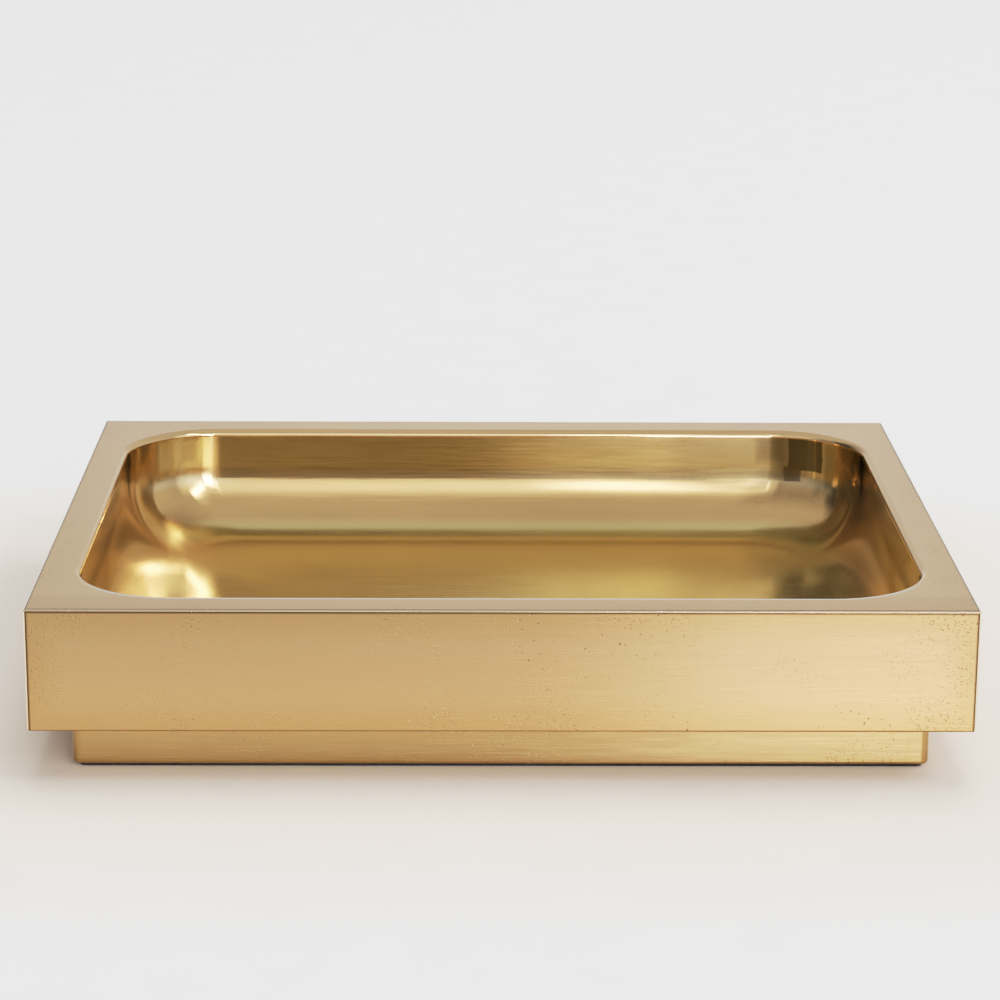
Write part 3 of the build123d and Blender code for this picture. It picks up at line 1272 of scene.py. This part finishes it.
def makeSky():
    world = bpy.data.worlds.new("softStudio")
    bpy.context.scene.world = world
    world.use_nodes = True
    tree = world.node_tree
    parts = addNode(tree, "ShaderNodeSeparateXYZ")
    feed(tree, parts.inputs[0], addNode(tree, "ShaderNodeTexCoord").outputs["Generated"])
    x, y, z = parts.outputs
    azimuth = calc(tree, "ARCTAN2", x, calc(tree, "MULTIPLY", y, -1.0))
    around = calc(tree, "MULTIPLY_ADD", azimuth, 1 / (2 * math.pi), 0.5)
    rise = calc(tree, "DEGREES", calc(tree, "ARCSINE", z))
    low = rampOf(tree, around, sky["low"])
    fromGround = fade(tree, rise, *sky["horizonEnds"], sky["horizon"], 1.0)
    tone = calc(tree, "MULTIPLY", low, fromGround)
    middle = rampOf(tree, around, sky["middle"])
    tone = mixNumber(tree, fade(tree, rise, *sky["lowEnds"]), tone, middle)
    tone = mixNumber(tree, fade(tree, rise, *sky["middleEnds"]), tone, sky["high"])
    background = tree.nodes["Background"]
    background.inputs["Color"].default_value = (1.0, 1.0, 1.0, 1)
    feed(tree, background.inputs["Strength"], tone)


def addSoftbox(name, azimuths, heights, tone, distance, colour=(1, 1, 1), inMetal=True, lean=0):
    # a rectangular lamp that fills these angles, seen from the middle of the rim
    turn = math.radians(sum(azimuths) / 2)
    rise = math.radians(sum(heights) / 2)
    level = math.cos(rise)
    away = Vector((math.sin(turn) * level, -math.cos(turn) * level, math.sin(rise)))
    halfWide = math.radians(azimuths[1] - azimuths[0]) / 2
    halfHigh = math.radians(heights[1] - heights[0]) / 2
    lamp = bpy.data.lights.new(name, "AREA")
    lamp.shape = "RECTANGLE"
    lamp.size = 2 * distance * level * math.tan(halfWide)
    lamp.size_y = 2 * distance * math.tan(halfHigh)
    lamp.energy = tone * math.pi * lamp.size * lamp.size_y
    lamp.color = colour
    softbox = bpy.data.objects.new(name, lamp)
    bpy.context.scene.collection.objects.link(softbox)
    softbox.location = Vector((0, 0, rimLevel)) + away * distance
    faced = away.to_track_quat("Z", "Y").to_matrix().to_4x4()
    softbox.rotation_euler = (faced @ Matrix.Rotation(math.radians(lean), 4, "Z")).to_euler()
    softbox.visible_glossy = inMetal  # the washes light the paper and stay out of the reflections


lamps = [
    dict(name="keyNear", azimuths=(2.3, 5.2), heights=(15, 29), tone=4.3, distance=6),
    dict(name="keyBox", azimuths=(7.5, 20), heights=(8, 24), tone=11.0, distance=6),
    dict(name="keyHigh", azimuths=(17, 48), heights=(30.5, 36.5), tone=14.0, distance=6, lean=43),
    dict(
        name="keyLow",
        azimuths=(3.9, 11),
        heights=(-0.5, 4.5),
        tone=23.0,
        distance=6,
        colour=(1, 1.02, 1.3),
    ),
    dict(
        name="washBack",
        azimuths=(120, 200),
        heights=(58, 89),
        tone=6.65,
        distance=5,
        inMetal=False,
    ),
    dict(
        name="washRight",
        azimuths=(65, 105),
        heights=(35, 60),
        tone=7.2,
        distance=5,
        inMetal=False,
    ),
]
makeSky()
for lamp in lamps:
    addSoftbox(**lamp)
print("lights made")


# Camera

view = dict(
    lens=111.603,
    sensor=36,
    nearest=0.01,
    tiltDown=15.7001,
    turn=0.8505,
    lean=0.3718,
    place=Vector((-8.968, -625.827, 177.219)) * mm,  # from the middle of the rim
)


def makeCamera():
    shot = bpy.data.cameras.new("camera")
    shot.lens = view["lens"]
    shot.sensor_width = view["sensor"]
    shot.clip_start = view["nearest"]
    camera = bpy.data.objects.new("camera", shot)
    bpy.context.scene.collection.objects.link(camera)
    turned = (
        Matrix.Rotation(-math.radians(view["turn"]), 4, "Z")
        @ Matrix.Rotation(math.radians(90 - view["tiltDown"]), 4, "X")
        @ Matrix.Rotation(math.radians(view["lean"]), 4, "Z")
    )
    camera.location = view["place"] + Vector((0, 0, rimLevel))
    camera.rotation_euler = turned.to_euler()
    bpy.context.scene.camera = camera


film = dict(  # how scene light is shown: straight in the darks, rolled off in the highlights
    whiteLevel=6.0,
    curve=[
        (0.25, 0.25), (0.4, 0.4), (0.7, 0.6), (1.1, 0.74), (1.7, 0.87), (2.6, 0.955), (4.0, 0.99),
    ],
)


def setFilm():
    settings = bpy.context.scene.view_settings
    settings.view_transform = "Standard"
    settings.use_curve_mapping = True
    curves = settings.curve_mapping
    curves.white_level = [film["whiteLevel"]] * 3
    for light, shown in film["curve"]:
        curves.curves[3].points.new(light / film["whiteLevel"], shown).handle_type = "AUTO_CLAMPED"
    curves.update()


makeCamera()
setFilm()
print("camera made")
